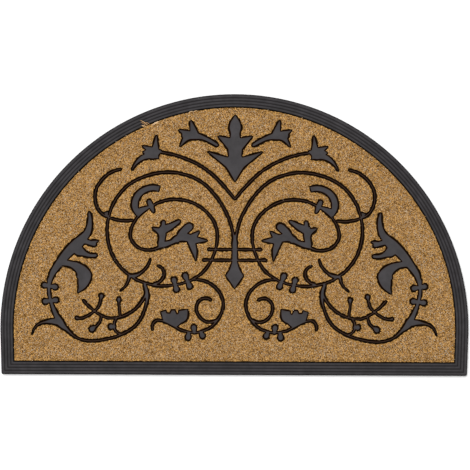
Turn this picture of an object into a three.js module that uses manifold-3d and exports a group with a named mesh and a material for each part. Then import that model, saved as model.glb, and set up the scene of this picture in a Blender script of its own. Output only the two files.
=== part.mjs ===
// Half-round coir doormat: a moulded rubber tray with a ribbed frame and raised scrollwork,
// and short coir pile standing in the fields that the scrollwork leaves open.
// Millimetres, +Z up. The origin is under the middle of the mat, on the floor. +X runs along
// the straight edge and +Y towards the top of the arch.
import * as THREE from 'three';
import { mergeVertices } from 'three/addons/utils/BufferGeometryUtils.js';
import Module from 'manifold-3d';

const wasm = await Module();
wasm.setup();

// Size of the mat.
const matWidth = 750;
const matDepth = 450;
const archRadius = matWidth / 2;
const archCentreY = matDepth / 2 - archRadius;
const archOverrun = 1.6; // degrees by which the arch runs on past half a circle at each side
const cornerRadius = 3;

// Heights above the floor.
const backingTop = 3;
const reliefTop = 8.5;
const pileTop = 10;

// The frame: four ribs, set in from the outer edge, whose first slopes down to the edge.
const ribCount = 4;
const ribPitch = 4.9;
const firstRib = 3.7;
const ribCrest = 2.4;
const ribTop = 8.5;
const grooveDepth = 1.6;
const edgeHeight = 3.6;
const edgeRound = 0.6;
const shoulderInset = 1;
const shoulderHeight = 6.6;

// Moulded walls lean, and the pile stands clear of their feet.
const wallLean = 0.8;
const frameWallLean = 1.7;
const pieceGap = 0.3;

// Widths across the top of the scrollwork.
const lineWidth = 3;
const knobWidth = 8.6;
const neckWidth = 5.4;

// How finely the curves are cut into straight steps, and how far two points that are one may
// lie apart, or a joined solid's faces move as its seams go.
const archSteps = 48;
const cornerSteps = 3;
const curveError = 0.45;
const widthStep = 8;
const endStep = 1.5;
const weldDistance = 1e-5;
const seamError = 0.02;

// The outline of the mat, drawn in by `inset` all round, counter-clockwise from the lower left.
function matOutline(inset) {
  const overrun = THREE.MathUtils.degToRad(archOverrun);
  const radius = archRadius - inset;
  const bottomY = -matDepth / 2 + inset;
  const bendX = radius * Math.cos(overrun);
  const bendY = archCentreY - radius * Math.sin(overrun);
  const cornerX = bendX - (bendY - bottomY) * Math.tan(overrun);
  const fillet = Math.max(cornerRadius - inset, edgeRound);
  const points = [];
  for (const side of [-1, 1]) {
    for (let step = 0; step <= cornerSteps; step++) {
      const turned = side < 0 ? step : cornerSteps - step;
      const angle = (Math.PI / 2) * (turned / cornerSteps);
      const x = side * (cornerX - fillet + fillet * Math.cos(angle));
      const y = bottomY + fillet - fillet * Math.sin(angle);
      points.push(new THREE.Vector2(x, y));
    }
  }
  const angles = [-overrun];
  for (let step = 0; step <= archSteps; step++) {
    angles.push((Math.PI * step) / archSteps);
  }
  angles.push(Math.PI + overrun);
  for (const angle of angles) {
    points.push(new THREE.Vector2(radius * Math.cos(angle), archCentreY + radius * Math.sin(angle)));
  }
  return points;
}

// A closed body through a stack of level rings that all have the same number of points.
function stackedBody(rings) {
  const count = rings[0].outline.length;
  const clockwise = THREE.ShapeUtils.isClockWise(rings[0].outline);
  const positions = [];
  for (const ring of rings) {
    const outline = clockwise ? [...ring.outline].reverse() : ring.outline;
    for (const point of outline) {
      positions.push(point.x, point.y, ring.z);
    }
  }
  const indices = [];
  for (let level = 0; level + 1 < rings.length; level++) {
    for (let i = 0; i < count; i++) {
      const next = (i + 1) % count;
      const low = level * count;
      const high = low + count;
      indices.push(low + i, low + next, high + next, low + i, high + next, high + i);
    }
  }
  const topStart = (rings.length - 1) * count;
  for (const [start, flipped] of [[0, true], [topStart, false]]) {
    const contour = [];
    for (let i = 0; i < count; i++) {
      contour.push(new THREE.Vector2(positions[3 * (start + i)], positions[3 * (start + i) + 1]));
    }
    for (const [a, b, c] of THREE.ShapeUtils.triangulateShape(contour, [])) {
      indices.push(start + a, start + (flipped ? c : b), start + (flipped ? b : c));
    }
  }
  const geometry = new THREE.BufferGeometry();
  geometry.setAttribute('position', new THREE.Float32BufferAttribute(positions, 3));
  geometry.setIndex(indices);
  return geometry;
}

// From a closed mesh to a solid that can be joined and cut, and back.
function solidOf(geometry) {
  const merged = mergeVertices(geometry, weldDistance);
  const mesh = new wasm.Mesh({
    numProp: 3,
    vertProperties: new Float32Array(merged.attributes.position.array),
    triVerts: new Uint32Array(merged.index.array),
  });
  return new wasm.Manifold(mesh);
}

function geometryOf(solid) {
  const mesh = solid.getMesh();
  const geometry = new THREE.BufferGeometry();
  geometry.setAttribute('position', new THREE.Float32BufferAttribute(mesh.vertProperties, 3));
  geometry.setIndex([...mesh.triVerts]);
  return geometry;
}

function joined(solids) {
  return solids.reduce((whole, solid) => whole.add(solid));
}

// A joined solid without the seams that its parts leave across one flat face.
function tidied(solid) {
  return solid.asOriginal().simplify(seamError);
}

// The heading at each station of a stroke is the tangent of the circle through the station
// and its two neighbours, and the end pieces bend evenly.
function strokeHeadings(stations) {
  const chords = [];
  for (let i = 0; i + 1 < stations.length; i++) {
    const dx = stations[i + 1].x - stations[i].x;
    const dy = stations[i + 1].y - stations[i].y;
    const before = i > 0 ? chords[i - 1].angle : 0;
    const turn = Math.atan2(dy, dx) - before;
    const nearTurn = THREE.MathUtils.euclideanModulo(turn + Math.PI, 2 * Math.PI) - Math.PI;
    chords.push({ angle: before + nearTurn, length: Math.hypot(dx, dy) });
  }
  const headings = [];
  for (let i = 1; i < chords.length; i++) {
    const before = chords[i - 1];
    const after = chords[i];
    const share = before.length / (before.length + after.length);
    headings.push(THREE.MathUtils.lerp(before.angle, after.angle, share));
  }
  const firstChord = chords[0].angle;
  const lastChord = chords[chords.length - 1].angle;
  const first = headings.length ? 2 * firstChord - headings[0] : firstChord;
  const last = headings.length ? 2 * lastChord - headings[headings.length - 1] : lastChord;
  return { chords, headings: [first, ...headings, last] };
}

// Points along a stroke, each with its heading and half width. Between two stations the line
// is a cubic curve whose handles make it a round arc where the turn allows it.
function strokeLine(stations) {
  const { chords, headings } = strokeHeadings(stations);
  const samples = [];
  chords.forEach((chord, i) => {
    const from = stations[i];
    const to = stations[i + 1];
    const turn = headings[i + 1] - headings[i];
    const handle = chord.length / (3 * Math.cos(turn / 4) ** 2);
    const start = new THREE.Vector2(from.x, from.y);
    const end = new THREE.Vector2(to.x, to.y);
    const startHandle = new THREE.Vector2(Math.cos(headings[i]), Math.sin(headings[i]));
    const endHandle = new THREE.Vector2(Math.cos(headings[i + 1]), Math.sin(headings[i + 1]));
    const curve = new THREE.CubicBezierCurve(
      start,
      start.clone().addScaledVector(startHandle, handle),
      end.clone().addScaledVector(endHandle, -handle),
      end,
    );
    const bend = Math.abs(chord.angle - headings[i]) + Math.abs(headings[i + 1] - chord.angle);
    const fromWidth = from.width ?? lineWidth;
    const toWidth = to.width ?? lineWidth;
    const widthChange = Math.abs(toWidth - fromWidth);
    const bendSteps = Math.ceil(Math.sqrt((chord.length * bend) / (8 * curveError)));
    const steps = Math.max(1, bendSteps, Math.round(widthChange / widthStep));
    for (let step = i === 0 ? 0 : 1; step <= steps; step++) {
      const share = step / steps;
      const tangent = curve.getTangent(share);
      samples.push({
        point: curve.getPoint(share),
        heading: Math.atan2(tangent.y, tangent.x),
        half: THREE.MathUtils.lerp(fromWidth, toWidth, share) / 2,
      });
    }
  });
  return samples;
}

// The closed outline of a stroke, grown sideways and at its ends by `grow`.
function strokeOutline(stroke, grow, side) {
  const samples = strokeLine(stroke.stations);
  const first = samples[0];
  const last = samples[samples.length - 1];
  const left = [];
  const right = [];
  for (const sample of samples) {
    const { point, heading, half } = sample;
    const along = new THREE.Vector2(Math.cos(heading), Math.sin(heading));
    const across = new THREE.Vector2(-along.y, along.x);
    const place = point.clone();
    if (stroke.square && sample === first) place.addScaledVector(along, -grow);
    if (stroke.square && sample === last) place.addScaledVector(along, grow);
    left.push(place.clone().addScaledVector(across, half + grow));
    right.push(place.clone().addScaledVector(across, -half - grow));
  }
  const startCap = stroke.square ? [] : endPoints(first, grow, -Math.PI / 2);
  const endCap = stroke.square ? [] : endPoints(last, grow, Math.PI / 2);
  const outline = [...left, ...endCap, ...right.reverse(), ...startCap];
  return outline.map((point) => new THREE.Vector2(side * point.x, point.y));
}

// The points round one end of a stroke: half a circle, or none where the end is square.
function endPoints({ point, heading, half }, grow, startAngle) {
  const steps = 2 + Math.floor(half / endStep);
  const points = [];
  for (let step = 1; step < steps; step++) {
    const angle = heading + startAngle - (Math.PI * step) / steps;
    const offset = new THREE.Vector2(Math.cos(angle), Math.sin(angle));
    points.push(point.clone().addScaledVector(offset, half + grow));
  }
  return points;
}

// The scrollwork is drawn with one kind of line: a stroke through stations, each with the
// distance x out from the centre line, the height y above the middle of the mat and, where
// the stroke isn't a plain line, its width there. Each stroke stands on both sides.
const scrolls = [
  // The great scroll: up from the stem, over, down and under, then in to the leaf.
  { stations: [
    { x: 0, y: -14, width: 4 }, { x: 6, y: 15 }, { x: 26, y: 55 }, { x: 57, y: 86 },
    { x: 98, y: 99 }, { x: 140, y: 94 }, { x: 176, y: 74 }, { x: 197, y: 43 }, { x: 204, y: -2 },
    { x: 192, y: -40 }, { x: 160, y: -71 }, { x: 104, y: -82 }, { x: 56, y: -65 },
    { x: 31, y: -25 }, { x: 30, y: 12 }, { x: 54, y: 43 }, { x: 95, y: 56 }, { x: 137, y: 43 },
    { x: 163, y: 16 }, { x: 167, y: -4 }, { x: 153, y: -22 }, { x: 135, y: -25 },
    { x: 119, y: -20, width: 4 },
  ] },
  // The arc outside it, which runs in across the great scroll's outer turn, and the web
  // that fills the narrow corner where the two cross.
  { stations: [
    { x: 183, y: 104 }, { x: 212, y: 88 }, { x: 224, y: 62 }, { x: 215, y: 35 },
    { x: 189, y: 23 }, { x: 163, y: 22 },
  ] },
  { square: true, stations: [{ x: 206, y: 35, width: 8 }, { x: 204, y: 28, width: 2 }] },
  // The branch from the centre line up to the outer bud.
  { stations: [
    { x: 0, y: 57 }, { x: 20, y: 80 }, { x: 45, y: 103 }, { x: 79, y: 121 }, { x: 122, y: 132 },
  ] },
  // The square-ended hook on the inner turn, and the knot beside it with its link.
  { square: true, stations: [
    { x: 121, y: 73, width: 8.5 }, { x: 142, y: 72, width: 9 }, { x: 156, y: 61, width: 10 },
    { x: 160, y: 46, width: 10.5 }, { x: 154, y: 31, width: 7 },
  ] },
  { stations: [
    { x: 137, y: 52, width: 7 }, { x: 134, y: 45, width: 9 }, { x: 130, y: 36, width: 4 },
  ] },
  { stations: [{ x: 153, y: 37, width: 10 }, { x: 139, y: 43, width: 5 }] },
  // Three tendrils where the great scroll runs under.
  { stations: [
    { x: 167, y: -67, width: 5 }, { x: 160, y: -67, width: 6 }, { x: 149, y: -61 },
    { x: 139, y: -50 }, { x: 135, y: -39, width: 1.2 },
  ] },
  { stations: [
    { x: 168, y: -67, width: 5 }, { x: 171, y: -77 }, { x: 183, y: -91, width: 1.2 },
  ] },
  { stations: [
    { x: 129, y: -80, width: 4 }, { x: 116, y: -72, width: 3.5 }, { x: 113, y: -60 },
    { x: 123, y: -50, width: 2.5 },
  ] },
];

const lowerScrolls = [
  // The scroll below the great one, and the curl inside it.
  { stations: [
    { x: 68, y: -72 }, { x: 44, y: -76 }, { x: 24, y: -93 }, { x: 18, y: -112 },
    { x: 28, y: -138 }, { x: 54, y: -156 }, { x: 83, y: -154 }, { x: 110, y: -140 },
    { x: 125, y: -138 }, { x: 131, y: -145 }, { x: 131, y: -153, width: 2.5 },
  ] },
  { stations: [
    { x: 28, y: -137, width: 4 }, { x: 44, y: -140 }, { x: 57, y: -130 }, { x: 61, y: -115 },
    { x: 52, y: -103 }, { x: 38, y: -105 },
  ] },
  // The corner scroll, from the great scroll down, along the straight edge and up to the
  // side leaf, with the branch inside it.
  { stations: [
    { x: 144, y: -80, width: 5 }, { x: 140, y: -98, width: 5.5 }, { x: 143, y: -118 },
    { x: 158, y: -146 }, { x: 180, y: -160 }, { x: 205, y: -168 }, { x: 231, y: -171 },
    { x: 254, y: -165 }, { x: 268, y: -153, width: 5 }, { x: 280, y: -141, width: 12 },
    { x: 285, y: -131, width: 8 }, { x: 292, y: -114, width: 5.5 }, { x: 297, y: -92, width: 5 },
    { x: 296, y: -72, width: 6.5 },
  ] },
  { stations: [
    { x: 141, y: -94, width: 4.5 }, { x: 157, y: -118 }, { x: 181, y: -132 },
    { x: 204, y: -134 }, { x: 223, y: -124 }, { x: 242, y: -106 },
  ] },
  // The tail that curls off at the corner.
  { stations: [
    { x: 284, y: -140, width: 11 }, { x: 302, y: -141, width: 4.5 }, { x: 314, y: -145 },
    { x: 321, y: -153, width: 2 }, { x: 324, y: -161, width: 1 },
  ] },
  // Twigs, knobbed at their ends, and the link between the branch and the corner scroll.
  { stations: [
    { x: 185, y: -104, width: 6 }, { x: 185, y: -109 }, { x: 183, y: -131 },
  ] },
  { stations: [
    { x: 213, y: -99, width: 6.5 }, { x: 214, y: -104 }, { x: 218, y: -117 }, { x: 229, y: -127 },
    { x: 242, y: -134 }, { x: 249, y: -135 }, { x: 253, y: -134, width: 4.5 },
  ] },
  { stations: [{ x: 213, y: -132 }, { x: 217, y: -143 }, { x: 225, y: -150 }] },
  { stations: [
    { x: 188, y: -134 }, { x: 193, y: -147, width: 4 }, { x: 190, y: -155 }, { x: 182, y: -160 },
  ] },
];

// Leaves and buds are a broad stroke for the body, and a tapering one for each lobe.
const leaves = [
  // The leaf inside the great scroll.
  { stations: [
    { x: 122, y: -21, width: 4 }, { x: 112, y: -16, width: 9 }, { x: 100, y: -12, width: 7 },
    { x: 88, y: -5, width: 12 }, { x: 76, y: -5, width: 13 }, { x: 64, y: -8, width: 11 },
  ] },
  { stations: [
    { x: 118, y: -17, width: 10 }, { x: 116, y: 0, width: 12 }, { x: 114, y: 20, width: 5.5 },
  ] },
  { stations: [{ x: 119, y: 4, width: 12 }, { x: 131, y: 10, width: 2.5 }] },
  { stations: [
    { x: 115, y: 7, width: 14 }, { x: 102, y: 13, width: 9.5 }, { x: 89, y: 21, width: 5 },
  ] },
  { stations: [
    { x: 92, y: -9, width: 9 }, { x: 81, y: 5, width: 12 }, { x: 73, y: 12, width: 12 },
  ] },
  { stations: [{ x: 66, y: -4, width: 12 }, { x: 57, y: 5, width: 1.5 }] },
  { stations: [{ x: 64, y: -9, width: 12 }, { x: 44, y: -10, width: 1.5 }] },
  { stations: [
    { x: 70, y: -9, width: 13 }, { x: 65, y: -25, width: 9 }, { x: 62, y: -42, width: 1 },
  ] },
  // The side leaf, with two fingers and a hooked lobe.
  { stations: [
    { x: 233, y: 34, width: 4 }, { x: 232, y: 18, width: 7.5 }, { x: 236, y: 2, width: 11 },
    { x: 250, y: -14, width: 17 }, { x: 267, y: -30, width: 15 }, { x: 282, y: -49, width: 12 },
    { x: 292, y: -64, width: 9 }, { x: 296, y: -80, width: 5 },
  ] },
  { stations: [
    { x: 247, y: -10, width: 11 }, { x: 238, y: -12, width: 8 }, { x: 225, y: -16, width: 7.5 },
  ] },
  { stations: [{ x: 227, y: -14, width: 8 }, { x: 219, y: -11, width: 2 }] },
  { stations: [
    { x: 262, y: -23, width: 12 }, { x: 249, y: -26, width: 17 }, { x: 241, y: -31, width: 9 },
    { x: 233, y: -34, width: 6 }, { x: 222, y: -34, width: 5 },
  ] },
  { stations: [
    { x: 278, y: -46, width: 10 }, { x: 263, y: -48, width: 9.5 }, { x: 250, y: -54, width: 15 },
    { x: 241, y: -67, width: 24 }, { x: 243, y: -80, width: 16 }, { x: 251, y: -94, width: 1 },
  ] },
];

const buds = [
  // The outer bud: its body, two pointed petals, a curled one and a heel.
  { stations: [
    { x: 119, y: 133, width: 4 }, { x: 128, y: 131, width: 17 }, { x: 141, y: 131, width: 11 },
    { x: 146, y: 131, width: 4 },
  ] },
  { stations: [
    { x: 128, y: 134, width: 13 }, { x: 127, y: 146, width: 6.5 }, { x: 126, y: 157, width: 3 },
  ] },
  { stations: [{ x: 134, y: 134, width: 12 }, { x: 148, y: 141, width: 1.5 }] },
  { stations: [
    { x: 130, y: 127, width: 13 }, { x: 147, y: 123, width: 8 }, { x: 158, y: 114, width: 4.5 },
    { x: 165, y: 102, width: 1 },
  ] },
  { square: true, stations: [{ x: 129, y: 132, width: 13 }, { x: 129, y: 121, width: 13 }] },
  // The inner bud: its tail and body, and three petals.
  { stations: [
    { x: 29, y: 143, width: 5 }, { x: 39, y: 149, width: 6 }, { x: 52, y: 155, width: 7 },
    { x: 64, y: 158, width: 12 }, { x: 78, y: 159, width: 15 },
  ] },
  { stations: [{ x: 66, y: 162, width: 13 }, { x: 71, y: 181, width: 3.5 }] },
  { stations: [{ x: 76, y: 160, width: 13 }, { x: 90, y: 167, width: 1.5 }] },
  { stations: [{ x: 76, y: 157, width: 13 }, { x: 88, y: 141, width: 1.5 }] },
  // The tulip on the lower scroll: its cup, two low petals and a broad one.
  { square: true, stations: [
    { x: 95, y: -148, width: 6 }, { x: 95, y: -140, width: 25 }, { x: 96, y: -134, width: 39 },
    { x: 96, y: -127, width: 42 },
  ] },
  { square: true, stations: [{ x: 111, y: -132, width: 10 }, { x: 114, y: -123, width: 8 }] },
  { square: true, stations: [{ x: 98, y: -132, width: 16 }, { x: 98, y: -121, width: 5 }] },
  { square: true, stations: [
    { x: 90, y: -138, width: 12 }, { x: 84, y: -132, width: 17 }, { x: 82, y: -121, width: 14 },
  ] },
];

// Knobs: a binder is a pair of knobs that clasps a scroll, and a bead is one on a short neck.
const knobs = [
  { stations: binder({ x: 97, y: -73 }, { x: 93, y: -88 }) },
  { stations: binder({ x: 79, y: -66 }, { x: 72, y: -83 }) },
  { stations: binder({ x: 304, y: -82 }, { x: 287, y: -85 }) },
  { stations: binder({ x: 303, y: -108 }, { x: 286, y: -106 }) },
  { stations: bead({ x: 65, y: -149 }, { x: 64, y: -157 }) },
  { stations: bead({ x: 74, y: -165 }, { x: 73, y: -157 }) },
  { stations: bead({ x: 51, y: -162 }, { x: 54, y: -156 }) },
  { stations: bead({ x: 197, y: -148 }, { x: 192, y: -148 }) },
  { stations: bead({ x: 228, y: -152 }, { x: 224, y: -149 }) },
];

function binder(one, other) {
  const middle = { x: (one.x + other.x) / 2, y: (one.y + other.y) / 2, width: neckWidth };
  return [{ ...one, width: knobWidth }, middle, { ...other, width: knobWidth }];
}

function bead(knob, foot) {
  return [{ ...knob, width: knobWidth }, { ...foot, width: neckWidth }];
}

// The pairs of barbs on the finial, and the halves of the two crossbars.
const pairs = [
  { stations: [{ x: 3, y: 143, width: 23 }, { x: 27, y: 157, width: 1.5 }] },
  { stations: [
    { x: 10, y: 115, width: 17 }, { x: 26, y: 123, width: 9 }, { x: 43, y: 132, width: 1.5 },
  ] },
  { stations: [{ x: 0, y: -24 }, { x: 36, y: -24 }, { x: 42, y: -24, width: 3.5 }] },
  { stations: [{ x: 0, y: -41 }, { x: 44, y: -41 }, { x: 50, y: -41, width: 3.5 }] },
];

// What stands on the centre line: the finial, and the stem with its spearhead.
const centreStrokes = [
  { stations: [
    { x: 0, y: 191, width: 1 }, { x: 0, y: 179, width: 16 }, { x: 0, y: 172, width: 19 },
    { x: 0, y: 160, width: 15 }, { x: 0, y: 136, width: 23 }, { x: 0, y: 126, width: 21 },
    { x: 0, y: 113, width: 36 }, { x: 0, y: 105, width: 25 }, { x: 0, y: 95, width: 13 },
    { x: 0, y: 85, width: 1 },
  ] },
  { stations: [
    { x: 0, y: -2, width: 5 }, { x: 0, y: -14, width: 8 }, { x: 0, y: -44, width: 9 },
    { x: 0, y: -54, width: 15 }, { x: 0, y: -66, width: 29 }, { x: 0, y: -86, width: 1 },
  ] },
];

// Every motif as a function that gives its outline, grown by some amount.
const sided = [...scrolls, ...lowerScrolls, ...leaves, ...buds, ...knobs, ...pairs];
const motifs = centreStrokes.map((stroke) => (grow) => strokeOutline(stroke, grow, 1));
for (const side of [-1, 1]) {
  for (const stroke of sided) {
    motifs.push((grow) => strokeOutline(stroke, grow, side));
  }
}

// The rubber tray: the backing and its frame, with the motifs rooted in the backing.
const rootZ = backingTop / 2;
const frameFoot = firstRib + (ribCount - 1) * ribPitch + ribCrest / 2 + frameWallLean;

function raisedMotif(outline) {
  const rootGrow = wallLean * (reliefTop - rootZ) / (reliefTop - backingTop);
  return solidOf(stackedBody([
    { z: rootZ, outline: outline(rootGrow) },
    { z: reliefTop, outline: outline(0) },
  ]));
}

function trayBody() {
  const rings = [
    { z: 0, inset: edgeRound },
    { z: edgeRound, inset: 0 },
    { z: edgeHeight, inset: 0 },
    { z: shoulderHeight, inset: shoulderInset },
  ];
  for (let rib = 0; rib < ribCount; rib++) {
    const middle = firstRib + rib * ribPitch;
    if (rib > 0) rings.push({ z: ribTop - grooveDepth, inset: middle - ribPitch / 2 });
    rings.push(
      { z: ribTop, inset: middle - ribCrest / 2 },
      { z: ribTop, inset: middle + ribCrest / 2 },
    );
  }
  rings.push({ z: backingTop, inset: frameFoot });
  return stackedBody(rings.map(({ z, inset }) => ({ z, outline: matOutline(inset) })));
}

const tray = tidied(solidOf(trayBody()).add(joined(motifs.map(raisedMotif))));

// The pile: one slab inside the frame, cut through along every motif.
const pileInset = frameFoot + pieceGap;
const pileFoot = backingTop + pieceGap;
const cutMargin = 1;

function motifCutter(outline) {
  const grown = outline(wallLean + pieceGap);
  return solidOf(stackedBody([
    { z: pileFoot - cutMargin, outline: grown },
    { z: pileTop + cutMargin, outline: grown },
  ]));
}

const slab = solidOf(stackedBody([
  { z: pileFoot, outline: matOutline(pileInset) },
  { z: pileTop, outline: matOutline(pileInset) },
]));
const pile = tidied(slab.subtract(joined(motifs.map(motifCutter))));

// The separate fields, the largest first. A sliver too small to hold pile is left out.
const smallestField = 400; // cubic millimetres
const fields = pile.decompose()
  .filter((field) => field.volume() > smallestField)
  .sort((a, b) => b.volume() - a.volume());

const rubber = new THREE.MeshStandardMaterial({ color: 0x403c3e, roughness: 0.75, metalness: 0 });
const coir = new THREE.MeshStandardMaterial({ color: 0xa07b50, roughness: 0.95, metalness: 0 });

function namedMesh(name, solid, material) {
  const mesh = new THREE.Mesh(geometryOf(solid), material);
  mesh.name = name;
  return mesh;
}

const mat = new THREE.Group();
mat.add(namedMesh('rubber_tray', tray, rubber));

// The main field comes first, and the others follow in pairs of one size.
const [mainField, ...sideFields] = fields;
const pairNames = ['scroll', 'arch', 'crescent', 'crossbar'];
mat.add(namedMesh('coir_field', mainField, coir));
sideFields.forEach((field, i) => {
  const box = field.boundingBox();
  const side = box.min[0] + box.max[0] < 0 ? 'left' : 'right';
  mat.add(namedMesh(`coir_${pairNames[Math.floor(i / 2)]}_${side}`, field, coir));
});

export default mat;
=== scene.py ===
import math

import bmesh
import bpy
import numpy as np
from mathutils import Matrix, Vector
from mathutils.geometry import tessellate_polygon
from mathutils.kdtree import KDTree


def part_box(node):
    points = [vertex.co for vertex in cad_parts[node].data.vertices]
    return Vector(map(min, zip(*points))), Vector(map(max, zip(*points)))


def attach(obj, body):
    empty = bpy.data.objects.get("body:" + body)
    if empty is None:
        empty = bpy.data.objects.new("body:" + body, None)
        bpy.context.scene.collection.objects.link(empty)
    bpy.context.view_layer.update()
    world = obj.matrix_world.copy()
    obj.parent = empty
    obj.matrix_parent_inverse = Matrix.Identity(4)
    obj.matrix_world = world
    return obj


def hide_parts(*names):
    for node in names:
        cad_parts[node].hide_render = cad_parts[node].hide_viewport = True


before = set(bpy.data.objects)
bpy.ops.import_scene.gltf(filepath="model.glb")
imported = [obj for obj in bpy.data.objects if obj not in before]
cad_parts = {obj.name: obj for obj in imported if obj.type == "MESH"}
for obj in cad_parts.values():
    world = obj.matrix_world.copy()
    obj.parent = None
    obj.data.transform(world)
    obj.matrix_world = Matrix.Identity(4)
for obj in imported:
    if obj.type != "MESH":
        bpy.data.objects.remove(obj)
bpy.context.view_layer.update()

# The camera looks straight down on the mat, as in the photograph, from far enough away for the
# relief to show almost without perspective. Its lens and place are worked out for a square frame
# of 470 pixels, which the mat fills nearly across its whole width.
picture_px = 470
mat_width_px = 467.5
mat_middle_px = (234.8, 234.6)
camera_height = 3.2
sensor_width = 36
picture_turn = math.radians(0.23)

mat_low, mat_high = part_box("rubber_tray")
pixel = (mat_high.x - mat_low.x) / mat_width_px
camera_data = bpy.data.cameras.new("camera")
camera_data.sensor_width = sensor_width
camera_data.lens = sensor_width * camera_height / (picture_px * pixel)
camera = bpy.data.objects.new("camera", camera_data)
camera.location = (
    (picture_px / 2 - mat_middle_px[0]) * pixel,
    (mat_middle_px[1] - picture_px / 2) * pixel,
    camera_height,
)
camera.rotation_euler.z = picture_turn
bpy.context.collection.objects.link(camera)
bpy.context.scene.camera = camera

# The studio: a plain white floor, an even white surround, and one broad lamp beyond the top of
# the arch, which draws the ribs and the relief without a hard shadow.
floor_size = 14
floor_shade = 0.88
floor_roughness = 0.9
floor_gloss = 0.1
surround_strength = 0.95
lamp_size = 3.2
lamp_power = 190
lamp_place = Vector((-1.3, 2.3, 4.4))

bpy.context.scene.view_settings.view_transform = "Standard"
world = bpy.data.worlds.new("surround")
world.use_nodes = True
world.node_tree.nodes["Background"].inputs["Color"].default_value = (1, 1, 1, 1)
world.node_tree.nodes["Background"].inputs["Strength"].default_value = surround_strength
bpy.context.scene.world = world

lamp_data = bpy.data.lights.new("broad_lamp", "AREA")
lamp_data.shape = "DISK"
lamp_data.size = lamp_size
lamp_data.energy = lamp_power
lamp = bpy.data.objects.new("broad_lamp", lamp_data)
lamp.location = lamp_place
lamp.rotation_euler = lamp_place.to_track_quat("Z", "Y").to_euler()
bpy.context.collection.objects.link(lamp)

floor_material = bpy.data.materials.new("white_floor")
floor_material.use_nodes = True
floor_shader = floor_material.node_tree.nodes["Principled BSDF"]
floor_shader.inputs["Base Color"].default_value = (floor_shade, floor_shade, floor_shade, 1)
floor_shader.inputs["Roughness"].default_value = floor_roughness
floor_shader.inputs["Specular IOR Level"].default_value = floor_gloss

floor_mesh = bpy.data.meshes.new("floor")
half_floor = floor_size / 2
floor_mesh.from_pydata(
    [(-half_floor, -half_floor, 0), (half_floor, -half_floor, 0),
     (half_floor, half_floor, 0), (-half_floor, half_floor, 0)],
    [],
    [(0, 1, 2, 3)],
)
floor_mesh.materials.append(floor_material)
floor = bpy.data.objects.new("floor", floor_mesh)
bpy.context.collection.objects.link(floor)

# The tray is one moulding of black rubber. Its backing is a flat sheet, and its rim stands up
# as a frame of four round ribs with narrow grooves between them, sloping down to the edge.
# All of it is swept along the mat's outline, a half circle over a short straight skirt.
mm = 0.001
arch_radius = (mat_high.x - mat_low.x) / 2
arch_middle_y = mat_high.y - arch_radius
arch_overrun = math.radians(1.6)
arch_steps = 300
corner_radius = 3 * mm
corner_steps = 6
edge_round = 0.6 * mm

backing_top = 3 * mm
rib_count = 4
rib_pitch = 4.9 * mm
first_rib = 3.7 * mm
rib_top = mat_high.z
groove_depth = 1.6 * mm
rib_sharpness = 3
steps_per_rib = 8
last_rib_end = 0.25  # of a pitch past its crest, where the frame's inner wall begins

# The mat's edge and the frame's inner wall in section, each point as (how far in, height).
edge_wall = [
    (edge_round, 0), (0.25 * mm, 0.15 * mm), (0, edge_round),
    (0, 3.6 * mm), (0.2 * mm, 4.9 * mm), (0.6 * mm, 6.1 * mm),
]
inner_wall = [
    (0.35 * mm, rib_top - 0.7 * mm), (0.8 * mm, backing_top + 2.2 * mm),
    (1.6 * mm, backing_top + 0.3 * mm), (2.2 * mm, backing_top),
]


def mat_outline(inset):
    """The mat's outline drawn in by inset, counter-clockwise from the lower left corner."""
    radius = arch_radius - inset
    bottom = mat_low.y + inset
    bend_x = radius * math.cos(arch_overrun)
    bend_y = arch_middle_y - radius * math.sin(arch_overrun)
    corner_x = bend_x - (bend_y - bottom) * math.tan(arch_overrun)
    fillet = max(corner_radius - inset, edge_round)
    turns = np.linspace(0, math.pi / 2, corner_steps + 1)
    corner = np.stack([np.cos(turns), -np.sin(turns)], axis=1) * fillet
    left = corner * (-1, 1) + (fillet - corner_x, bottom + fillet)
    right = corner[::-1] + (corner_x - fillet, bottom + fillet)
    angles = np.linspace(-arch_overrun, math.pi + arch_overrun, arch_steps + 1)
    arch = np.stack([np.cos(angles), np.sin(angles)], axis=1) * radius + (0, arch_middle_y)
    return np.concatenate([left, right, arch])


def lofted(name, rings):
    """A closed mesh through a stack of rings, each (outline, height), lowest first."""
    count = len(rings[0][0])
    points = [(x, y, height) for outline, height in rings for x, y in outline]
    faces = [tuple(reversed(range(count)))]
    for ring in range(len(rings) - 1):
        for i in range(count):
            low, next_low = ring * count + i, ring * count + (i + 1) % count
            faces.append((low, next_low, next_low + count, low + count))
    faces.append(tuple(range((len(rings) - 1) * count, len(rings) * count)))
    mesh = bpy.data.meshes.new(name)
    mesh.from_pydata(points, [], faces)
    return mesh


profile = list(edge_wall)
for rib in range(rib_count):
    crest = first_rib + rib * rib_pitch
    last = last_rib_end if rib == rib_count - 1 else 0.5 - 1 / steps_per_rib
    for across in np.arange(-0.5, last + 0.5 / steps_per_rib, 1 / steps_per_rib):
        fall = groove_depth * abs(2 * across) ** rib_sharpness
        profile.append((crest + across * rib_pitch, rib_top - fall))
frame_inner = first_rib + (rib_count - 1) * rib_pitch + last_rib_end * rib_pitch
profile += [(frame_inner + inset, height) for inset, height in inner_wall]

# How the rubber's finish varies: a bloom in broad patches, the gloss of its tops, which is taken off
# the flanks as painted shade and dulled on narrow forms for coir dust and painted shade, and the
# grain of the mould.
bloom_scale = 60
bloom_detail = 6
bloom_roughness = 0.65
bloom_span = (0.35, 0.7)
unshaded_band = 0.02 * mm
top_gloss = 0.12
dust_and_shade_gloss = 0.02
rubber_roughness = (0.55, 0.8)
grain_scale = 1400
grain_detail = 3
grain_depth = 0.15 * mm
grain_strength = 0.6


def colour_ramp(nodes, stops):
    """A ramp node through (position, colour) stops."""
    ramp = nodes.new("ShaderNodeValToRGB")
    elements = ramp.color_ramp.elements
    for position, colour in stops[2:]:
        elements.new(position)
    for element, (position, colour) in zip(elements, sorted(stops)):
        element.position = position
        element.color = (*colour, 1)
    return ramp


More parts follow.
